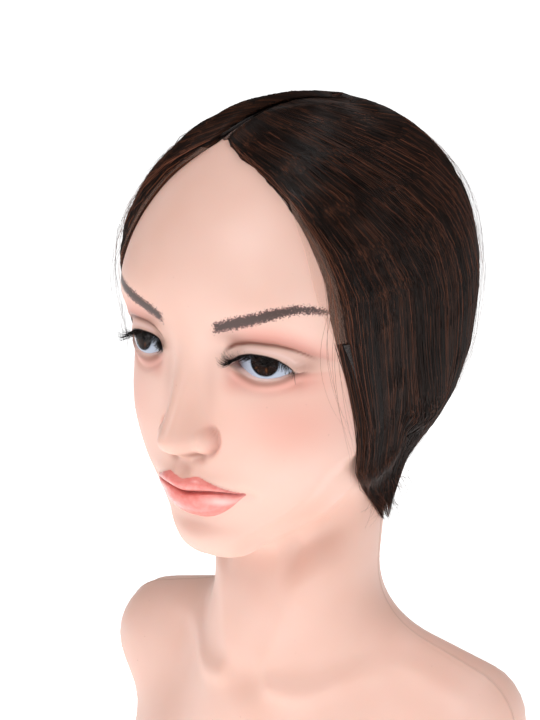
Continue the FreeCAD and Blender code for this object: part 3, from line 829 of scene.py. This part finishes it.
def makeLashes():
    rng = np.random.default_rng(11)
    rim = np.array(lidRim)
    left = rim[(rim[:, 0] > 17) & (rim[:, 0] < 50)]
    fibre = lashFibre()
    for side, name in ((1, "left"), (-1, "right")):
        n = lashes["hairs"]
        x = np.sort(np.concatenate([rng.uniform(19.4, 45.2, n - 50), rng.uniform(19.4, 22, 50)]))
        u = (x - 19.4) / 26.4
        root = np.stack([x, np.interp(x, left[:, 0], left[:, 1]) - 0.1,
                         np.interp(x, left[:, 0], left[:, 2]) + 0.1], -1)
        reach = lashes["length"] * (0.95 - 0.25 * bell(u - 0.5, 0.3) + 0.15 * u) * rng.uniform(0.75, 1.06, n)
        fan = -0.5 + 1.2 * u + rng.normal(0, 0.14, n)
        t = np.linspace(0, 1, 8)
        ahead = np.stack([np.sin(fan), -np.cos(fan), 0 * fan], -1)
        droop = rng.uniform(0.45, 0.85, n)[:, None] * t - rng.uniform(0.45, 1.05, n)[:, None] * t ** 2.2
        paths = root[:, None] + ahead[:, None] * (reach[:, None] * (t - 0.12 * t ** 2))[..., None]
        paths[..., 2] -= reach[:, None] * droop
        paths[..., 0] *= side
        stout = rng.uniform(0.8, 1.2, n) + 0.4 * (x < 22)
        widths = lashes["width"] * np.clip(1.15 - t, 0.2, 1)[None, :] * stout[:, None]
        out = np.zeros_like(paths)
        out[..., 2] = 1
        # band that the hairs are tied to, along the lid's edge
        line = np.linspace(20.5, 44.6, 26)
        band = np.stack([line * side, np.interp(line, left[:, 0], left[:, 1]) - 0.15,
                         np.interp(line, left[:, 0], left[:, 2]) + 0.15], -1)
        upward = np.tile([0.0, 0, 1], (1, 26, 1))
        belt = strands(band[None], np.full((1, 26), 0.5), upward, np.zeros(1), "lashBand")
        finish(belt, "lashBand." + name, fibre, "bust", "lash")
        piece = strands(paths, widths, out, rng.uniform(0, 1, n), "lashes")
        finish(piece, "lashes." + name, fibre, "bust", "lash", "lash_" + name)


makeLashes()
print("lashes made")

# wig

# front edge of the hair: height, angle round from the face
hairEdge = [(-106, 90), (-95, 70), (-63, 49), (-40, 48), (-13, 43), (19, 37), (48, 29.5),
            (70, 22.5), (80, 14), (90, 3), (120, 0.6)]
# outline of the hair: height, half width, half depth, middle behind the corneas
hairRings = np.array([(-112, 43.5, 43.5, 86), (-84, 47, 47, 91), (-64, 55, 54, 92), (-49, 64, 61, 93),
                      (-35, 71, 70, 92), (-16, 76.5, 85, 88), (8, 79, 92, 86), (24, 78.5, 95.5, 85),
                      (40, 75.5, 93, 85), (55, 69.5, 86.5, 85), (70, 60, 75.5, 85), (84, 47, 60, 85),
                      (95, 31.5, 41, 86), (103, 13, 18, 87)])
wig = {"points": 15, "width": 0.46, "locks": 520, "frontRing": 0.128, "thin": 2.4, "cover": 3.5}
hairAxis = np.array([0, 88, 0])


def coverOf(theta, ring):
    # level of the hair's under side: over the cap above, close to the skin below it
    end = 0.44 + 0.12 * ease(1.6, 1.95, theta)
    return wig["cover"] - 2.3 * ease(end - 0.03, end + 0.03, ring)


def hairDistance(theta, ring, p):
    x, y, z = p[..., 0], p[..., 1], p[..., 2]
    a, b, middle = (np.interp(z, hairRings[:, 0], hairRings[:, c]) for c in (1, 2, 3))
    outline = (np.sqrt((x / a) ** 2 + ((y - middle) / b) ** 2) - 1) * np.minimum(a, b)
    outline = np.where(z > 103, z - 103, outline)
    forward = features(x, z) * ease(62, 30, y)
    moved = p.copy()
    moved[..., 1] += forward
    return np.minimum(outline, plainForm(moved) - coverOf(theta, ring) - wig["thin"])


def hairSpace():
    # skin and hair outline on a grid of angle and ring, from which any point between them is read
    turns = np.linspace(0, 180, 91)
    rings = np.linspace(0.0, 0.72, 121)
    theta, ring = np.meshgrid(np.radians(turns), rings, indexing="ij")
    skin = skinAt(theta, ring, 0, fine=False)
    raised = skinAt(theta, ring, wig["cover"], fine=False)
    share = coverOf(theta, ring)[..., None] / wig["cover"]
    edges = np.array(hairEdge)
    height = skin[..., 2]
    wanted = np.interp(height, edges[:, 0], edges[:, 1]) + 4.5 * np.exp(-((height - 38) / 26) ** 2)
    beyond = turns[:, None] - wanted
    first = np.maximum(np.argmax(beyond >= 0, 0), 1)
    column = np.arange(len(rings))
    after, before = beyond[first, column], beyond[first - 1, column]
    edge = turns[first] - 2 * after / np.maximum(after - before, 0.01)
    thinned = 0.6 * ease(8, 0, turns[:, None] - edge) * (0.45 + 0.55 * ease(0.1, 0.14, ring))
    share = share * (1 - thinned)[..., None]
    outer = rayOut(theta, ring, lambda q: hairDistance(theta, ring, q))
    return rings, edge, skin + (raised - skin) * share, outer


ringsOf, edgeOf, skinGrid, hairGrid = hairSpace()


def inHair(angle, ring, depth):
    # point at this angle (degrees) and ring, depth 0 at the skin and 1 at the hair's outline
    i = np.clip(angle / 2, 0, 89.999)
    j = np.clip(ring / ringsOf[1], 0, 119.999)
    i0, j0 = i.astype(int), j.astype(int)
    u, v = (i - i0)[..., None], (j - j0)[..., None]

    def read(grid):
        top = grid[i0, j0] * (1 - u) + grid[i0 + 1, j0] * u
        return top * (1 - v) + (grid[i0, j0 + 1] * (1 - u) + grid[i0 + 1, j0 + 1] * u) * v

    inner, outer = read(skinGrid), read(hairGrid)
    return inner + (outer - inner) * depth[..., None]


def edgeAngle(ring):
    return np.interp(ring, ringsOf, edgeOf)


def combed(paths, side):
    # the parting runs a little aslant: its front lies to the right and its rear end to the left
    paths[..., 0] *= side
    x, y, z = paths[..., 0], paths[..., 1], paths[..., 2]
    slant = -13 + 19 * np.clip((y - 38) / 54, 0, 1)
    slant = slant * ease(125, 95, y) * ease(46, 6, np.abs(x)) * ease(50, 75, z)
    paths[..., 0] = x + slant
    fuller = 1.3 * (side < 0) * bell(x + 10, 26) * bell(y - 72, 46)
    paths[..., 2] = z + (x ** 2 - (x + slant) ** 2) / 150 + fuller
    return paths


def lay(share, start, end, depth, t, wander):
    # a fibre's points, from the parting at ring start to ring end
    # share 0 follows the hairline and share 1 the middle of the back
    ring = start[:, None] + (end - start)[:, None] * t ** 1.15
    settle = 0.02 + 0.17 * (1 - share[:, None])
    turn = 1 - (1 - np.clip((ring - start[:, None]) / settle, 0, 1)) ** 2.2
    edge = edgeAngle(ring)
    angle = edge + (179.5 - edge) * share[:, None] * turn + wander
    angle = angle + (104 - angle) * 0.2 * ease(0.56, 0.66, ring) * (angle < 125)
    rise = 0.5 + 0.5 * ease(0, 0.14, t)
    close = 1 - 0.35 * ease(0.8, 1.0, t)
    return inHair(angle, ring, depth[:, None] * rise * close)


def hairPatch(name, side, shares, count, seed, material, replaced, depthRange=(0.55, 1.0)):
    rng = np.random.default_rng(seed)
    locks = max(int(wig["locks"] * (shares[1] - shares[0])), 12)
    lockShare = rng.uniform(shares[0], shares[1], locks)
    lockDepth = rng.uniform(depthRange[0] + 0.18, depthRange[1], locks)
    lockTone = rng.uniform(0, 1, locks)
    lockEnd = rng.uniform(0.585, 0.65, locks)
    lock = rng.integers(0, locks, count)
    share = np.clip(lockShare[lock] + rng.normal(0, 0.012, count), 0.0, 1)
    share = np.where(share < 0.004, rng.uniform(0, 0.03, count), share)
    start = wig["frontRing"] * (1 - share) ** 1.1 * rng.uniform(0.97, 1.0, count)
    end = np.clip(lockEnd[lock] + rng.normal(0, 0.014, count), 0.5, 0.66)
    depth = np.clip(lockDepth[lock] + rng.normal(0, 0.06, count), depthRange[0], depthRange[1] + 0.03)
    t = (np.linspace(0, 1, wig["points"]) ** 1.35)[None, :]
    phase = rng.uniform(0, 2 * pi, (count, 1))
    wander = rng.normal(0, 0.5, (count, 1)) * t * 1.6 + 0.5 * np.sin(5 * t + phase) * t
    depth = depth - 1.1 * ease(0.06, 0.0, share)
    paths = lay(share, start, end, depth, t, wander)
    paths[..., 0] += rng.normal(0.2, 0.6, (count, 1)) * (1 - ease(0, 0.1, t))
    paths = combed(paths, side)
    out = paths - hairAxis
    out[..., 2] *= 0.35
    thick = wig["width"] * rng.uniform(0.7, 1.25, (count, 1))
    taper = np.clip(1.15 - t ** 3, 0.12, 1) * np.clip(0.4 + t * 8, 0, 1)
    tone = np.clip(0.55 * lockTone[lock] + rng.normal(0.12, 0.2, count), 0, 1)
    # strands at the hairline get a lighter tone: a painted highlight at the thin front edge
    tone = np.where(share < 0.03, np.clip(tone + 0.25, 0, 1), tone)
    piece = strands(paths, thick * taper, out, tone, name)
    return finish(piece, name, material, "wig", "hair", *replaced)


def thicken(piece, metres):
    # gives a sheet its thickness, on its inner side
    solid = piece.modifiers.new("thickness", "SOLIDIFY")
    solid.thickness, solid.offset = metres, -1
    bpy.context.view_layer.objects.active = piece
    bpy.ops.object.modifier_apply(modifier=solid.name)


def underLayer(side, name, material, *replaced):
    # closed dark layer under the fibres, like the wefts that they hang from
    rings = np.linspace(0.004, 0.635, 68)
    shares = np.linspace(0, 1, 60)
    share, ring = np.meshgrid(shares, rings, indexing="ij")
    edge = edgeAngle(ring) * ease(0.1, 0.16, ring) + 2.0 + 9 * ease(0.5, 0.64, ring)
    angle = edge + (180 - edge) * share
    depth = 0.02 + 0.36 * ease(0.16, 0.34, ring) * ease(0, 0.2, share) - 0.3 * ease(0.45, 0.62, ring)
    points = inHair(angle, ring, depth)
    piece, column, row = gridPiece(shares, rings)
    moved = combed(points[column, row], side)
    setCoordinates(piece.data, place(moved))
    setAttribute(piece.data, "tone", np.full(len(moved), 0.12))
    outward(piece, (0, 0.01, 0.3))
    thicken(piece, 0.0008)
    return finish(piece, name, material, "wig", "hair", *replaced)


def flyaways(material):
    # single hairs that stand off the wig: over the brow and temple, along the back, and round the nape
    rng = np.random.default_rng(5)
    t = np.linspace(0, 1, 14)[None, :]
    sets = []
    for side in (1, -1):
        count = 120
        share = rng.uniform(0.02, 1, count)
        start = wig["frontRing"] * (1 - share)
        end = rng.uniform(0.45, 0.7, count)
        wander = rng.normal(0, 2.6, (count, 1)) * t + 2.2 * np.sin(4 * t + rng.uniform(0, 6, (count, 1))) * t
        height = rng.uniform(0.1, 0.85, (count, 1))
        lift = 1 + height * np.sin(pi * np.clip(t * rng.uniform(0.6, 1.1, (count, 1)), 0, 1))
        paths = lay(share, start, end, np.ones(count), t, wander)
        axis = hairAxis + paths * np.array([0, 0, 1])
        paths = paths + (paths - axis) * (lift - 1)[..., None] * 0.07
        sets.append(combed(paths, side))
        count = 8
        share = np.zeros(count)
        start = rng.uniform(0.19, 0.3, count)
        end = start + rng.uniform(0.1, 0.24, count)
        wander = -rng.uniform(2, 9, (count, 1)) * np.sin(pi * t * 0.8) + rng.normal(0, 1.0, (count, 1)) * t
        wisps = lay(share, start, np.minimum(end, 0.5), rng.uniform(0.5, 1.1, count), t, wander)
        sets.append(combed(wisps, side))
        count = 110
        root = lay(rng.uniform(0.02, 0.35, count), np.full(count, 0.1), rng.uniform(0.58, 0.64, count),
                   np.full(count, 0.7), np.array([[1.0]]), 0)[:, 0]
        heading = np.stack([rng.normal(0.3, 0.5, count), rng.normal(0.1, 0.5, count),
                            rng.normal(-0.8, 0.35, count)], -1)
        heading /= np.linalg.norm(heading, axis=1, keepdims=True)
        curl = rng.normal(0, 7, (count, 3))
        tips = root[:, None] + heading[:, None] * (rng.uniform(8, 30, count)[:, None] * t)[..., None]
        tips = tips + curl[:, None] * (t ** 2)[..., None]
        tips[..., 0] *= side
        sets.append(tips)
    paths = np.concatenate(sets)
    out = paths - hairAxis
    width = 0.16 * np.clip(1.1 - t, 0.3, 1) * np.ones((len(paths), 1))
    piece = strands(paths, width, out, rng.uniform(0.3, 1, len(paths)), "flyaways")
    return finish(piece, "hairFlyaways", material, "wig", "hair")


def makeWig():
    fibre = fibreHair()
    plan = (("Front", (0.0, 0.16), 2250, "hair_side_"), ("Top", (0.14, 0.42), 2300, "hair_top_"),
            ("Side", (0.4, 0.7), 2250, None), ("Back", (0.68, 1.0), 2100, None))
    for side, name in ((1, "left"), (-1, "right")):
        for i, (part, shares, count, node) in enumerate(plan):
            replaced = [node + name] if node else []
            if part == "Back" and side == 1:
                replaced = ["hair_crown"]
            seed = 20 + i + 7 * (side < 0)
            hairPatch("hair" + part + "." + name, side, shares, count, seed, fibre, replaced)
        underLayer(side, "weft." + name, fibre, "hair_back" if side == 1 else "hair_nape")
    flyaways(fibreHair("loose fibre, lit through", "#3a1e15", "#20110b", "#8d5540"))
    partingStrip()


def partingStrip():
    # knotted lace that shows between the roots
    across, rings = np.linspace(-1.2, 1.2, 7), np.linspace(0.02, 0.12, 40)
    piece, column, row = gridPiece(across, rings)
    points = inHair(np.zeros(len(row)), rings[row], np.full(len(row), 0.1))
    points[:, 0] = across[column]
    setCoordinates(piece.data, place(combed(points, 1)))
    outward(piece, (0, 0.01, 0.3))
    thicken(piece, 0.0005)
    knotted = net("knotted parting lace", "#7c5646", "#3a2620", 1.0)
    finish(piece, "partingStrip", knotted, "wig", "lace", "parting_strip")


def net(name, colour, hole, gap):
    # knitted stretch net: rows of small meshes
    material, shader = newMaterial(name)
    cells = addNode(material, "TexVoronoi", {"feature": "DISTANCE_TO_EDGE"},
                    Vector=addNode(material, "TexCoord").outputs["Object"], Scale=1000 / gap).outputs[0]
    threads = ramp(material, cells, (0.06, 1.0), (0.16, 0.0))
    link(material, mixColour(material, threads, hole, colour), shader.inputs["Base Color"])
    link(material, bump(material, threads, 0.7, 0.3), shader.inputs["Normal"])
    shader.inputs["Roughness"].default_value = 0.75
    shader.inputs["Sheen Weight"].default_value = 0.2
    return material


makeWig()
print("wig made")


# wig foundation and hardware, on the CAD nodes

def elastic():
    # woven elastic: fine ribs across the band
    material, shader = newMaterial("woven elastic")
    onObject = addNode(material, "TexCoord").outputs["Object"]
    ribs = addNode(material, "TexWave", {"bands_direction": "Z"}, Vector=onObject, Scale=320.0,
                   Distortion=0.6, Detail=1.0).outputs[1]
    link(material, ramp(material, ribs, (0.2, "#0d0b0b"), (0.8, "#2c2827")), shader.inputs["Base Color"])
    link(material, bump(material, ribs, 0.5, 0.2), shader.inputs["Normal"])
    shader.inputs["Roughness"].default_value = 0.8
    return material


def zincSteel():
    # bright zinc plate: faint grain and slightly cloudy gloss
    material, shader = newMaterial("bright zinc plated steel")
    cloud = noise(material, 3, 4, 0.7)
    link(material, ramp(material, cloud, (0.3, "#b9bcc0"), (0.7, "#d3d5d8")), shader.inputs["Base Color"])
    link(material, ramp(material, cloud, (0.3, 0.26), (0.7, 0.4)), shader.inputs["Roughness"])
    link(material, bump(material, noise(material, 0.4, 2), 0.1, 0.03), shader.inputs["Normal"])
    shader.inputs["Metallic"].default_value = 1.0
    return material


def blackSpring():
    # spring steel with a dipped black coat
    material, shader = newMaterial("black dipped spring steel")
    colour = ramp(material, noise(material, 2, 3), (0.3, "#100e0e"), (0.7, "#1e1a19"))
    link(material, colour, shader.inputs["Base Color"])
    link(material, bump(material, noise(material, 0.6, 2), 0.15, 0.05), shader.inputs["Normal"])
    shader.inputs["Roughness"].default_value = 0.35
    return material


def rubber():
    # matt moulded nitrile
    material, shader = newMaterial("moulded nitrile rubber")
    colour = ramp(material, noise(material, 1.5, 3), (0.3, "#131313"), (0.7, "#232222"))
    link(material, colour, shader.inputs["Base Color"])
    link(material, bump(material, noise(material, 0.5, 2), 0.3, 0.06), shader.inputs["Normal"])
    shader.inputs["Roughness"].default_value = 0.82
    return material


def board():
    # sealed beech ply: long grain along the width
    material, shader = newMaterial("sealed beech plywood")
    onObject = addNode(material, "TexCoord").outputs["Object"]
    drawn = addNode(material, "Mapping", Vector=onObject, Scale=(0.12, 1.0, 1.0))
    grain = noise(material, 1.8, 4, 0.6, drawn.outputs[0])
    link(material, ramp(material, grain, (0.3, "#a98059"), (0.7, "#c8a077")), shader.inputs["Base Color"])
    link(material, bump(material, grain, 0.3, 0.15), shader.inputs["Normal"])
    shader.inputs["Roughness"].default_value = 0.5
    return material


def laminate():
    # glass mat in resin: random chopped strands
    material, shader = newMaterial("glass mat laminate")
    mat = noise(material, 2.2, 5, 0.8)
    link(material, ramp(material, mat, (0.35, "#b3a579"), (0.65, "#dccfa6")), shader.inputs["Base Color"])
    link(material, bump(material, mat, 0.8, 0.4), shader.inputs["Normal"])
    shader.inputs["Roughness"].default_value = 0.4
    return material


def dressNodes():
    capNet = net("knitted stretch net", "#2a1a15", "#120b09", 1.6)
    lace = net("flesh tone tulle lace", "#c99a84", "#e8bba8", 1.1)
    finishes = {
        capNet: ("wig_cap", "nape_panel", "ear_tab_left", "ear_tab_right"),
        lace: ("lace_front",),
        elastic(): ("nape_band", "adjuster_strap_left", "adjuster_strap_right"),
        zincSteel(): ("base_screws", "stand_socket", "socket_bolts", "socket_nuts"),
        blackSpring(): ("comb_front", "comb_side_left", "comb_side_right", "strap_hook_left",
                        "strap_hook_right"),
        rubber(): ("rubber_feet",),
        board(): ("base_plate", "base_blocks"),
        laminate(): ("seam_strip",)}
    lace.node_tree.nodes["Principled BSDF"].inputs["Alpha"].default_value = 0.1
    for material, names in finishes.items():
        for name in names:
            for slot in nodes[name].material_slots:
                slot.material = material


dressNodes()
print("nodes dressed")

# camera, light and floor

# degrees and metres; aim is the point looked at, in mm to the right of and above the corneas' middle
view = {"azimuth": 36.2, "elevation": 17.3, "distance": 1.0, "lens": 111.35, "aim": (31.926, -4.356)}


def camera():
    a, e = radians(view["azimuth"]), radians(view["elevation"])
    back = Vector((sin(a) * cos(e), -cos(a) * cos(e), sin(e)))
    right = Vector((cos(a), sin(a), 0))
    up = back.cross(right)
    origin = Vector(headOrigin)
    spot = origin + back * view["distance"]
    target = origin + (right * view["aim"][0] + up * view["aim"][1]) / 1000
    aim = (target - spot).normalized()
    side = aim.cross(up).normalized()
    data = bpy.data.cameras.new("camera")
    data.lens = view["lens"]
    data.sensor_width = 36
    data.clip_start, data.clip_end = 0.05, 50
    eyePiece = bpy.data.objects.new("camera", data)
    top = side.cross(aim)
    eyePiece.matrix_world = Matrix.Translation(spot) @ Matrix((side, top, -aim)).transposed().to_4x4()
    bpy.context.scene.collection.objects.link(eyePiece)
    bpy.context.scene.camera = eyePiece


def softbox(name, spot, aim, size, power, colour="#ffffff"):
    data = bpy.data.lights.new(name, "AREA")
    data.shape, data.size, data.size_y = "RECTANGLE", size[0], size[1]
    data.energy = power
    data.color = linear(colour)[:3]
    lamp = bpy.data.objects.new(name, data)
    lamp.location = spot
    lamp.rotation_euler = (Vector(aim) - Vector(spot)).to_track_quat("-Z", "Y").to_euler()
    bpy.context.scene.collection.objects.link(lamp)


def studio():
    world = bpy.data.worlds.new("studio")
    world.use_nodes = True
    tree = world.node_tree
    tree.nodes["Background"].inputs["Color"].default_value = linear("#ffffff")
    # the sweep reads pure white, and lights the head more softly than it looks
    seen = tree.nodes.new("ShaderNodeLightPath")
    strength = tree.nodes.new("ShaderNodeMapRange")
    strength.inputs["To Min"].default_value = 0.25
    strength.inputs["To Max"].default_value = 1.12
    tree.links.new(seen.outputs["Is Camera Ray"], strength.inputs["Value"])
    tree.links.new(strength.outputs["Result"], tree.nodes["Background"].inputs["Strength"])
    bpy.context.scene.world = world
    bpy.context.scene.view_settings.view_transform = "Standard"
    head = (0, 0, 0.28)
    softbox("key", (0.12, -1.4, 1.65), head, (0.8, 0.8), 16.5)
    softbox("fill", (1.7, -0.5, 0.7), head, (0.5, 1.2), 3.2)
    softbox("top", (0.3, 0.5, 1.7), head, (0.9, 0.5), 6)
    deselect()
    bpy.ops.mesh.primitive_plane_add(size=6)
    floor = bpy.context.object
    material, shader = newMaterial("white paper sweep")
    paper = ramp(material, noise(material, 5, 2), (0.3, "#fbfbfb"), (0.7, "#ffffff"))
    link(material, paper, shader.inputs["Base Color"])
    shader.inputs["Roughness"].default_value = 0.9
    shader.inputs["Emission Color"].default_value = linear("#ffffff")
    shader.inputs["Emission Strength"].default_value = 0.85
    floor.name = "floor"
    floor.data.materials.append(material)


camera()
studio()
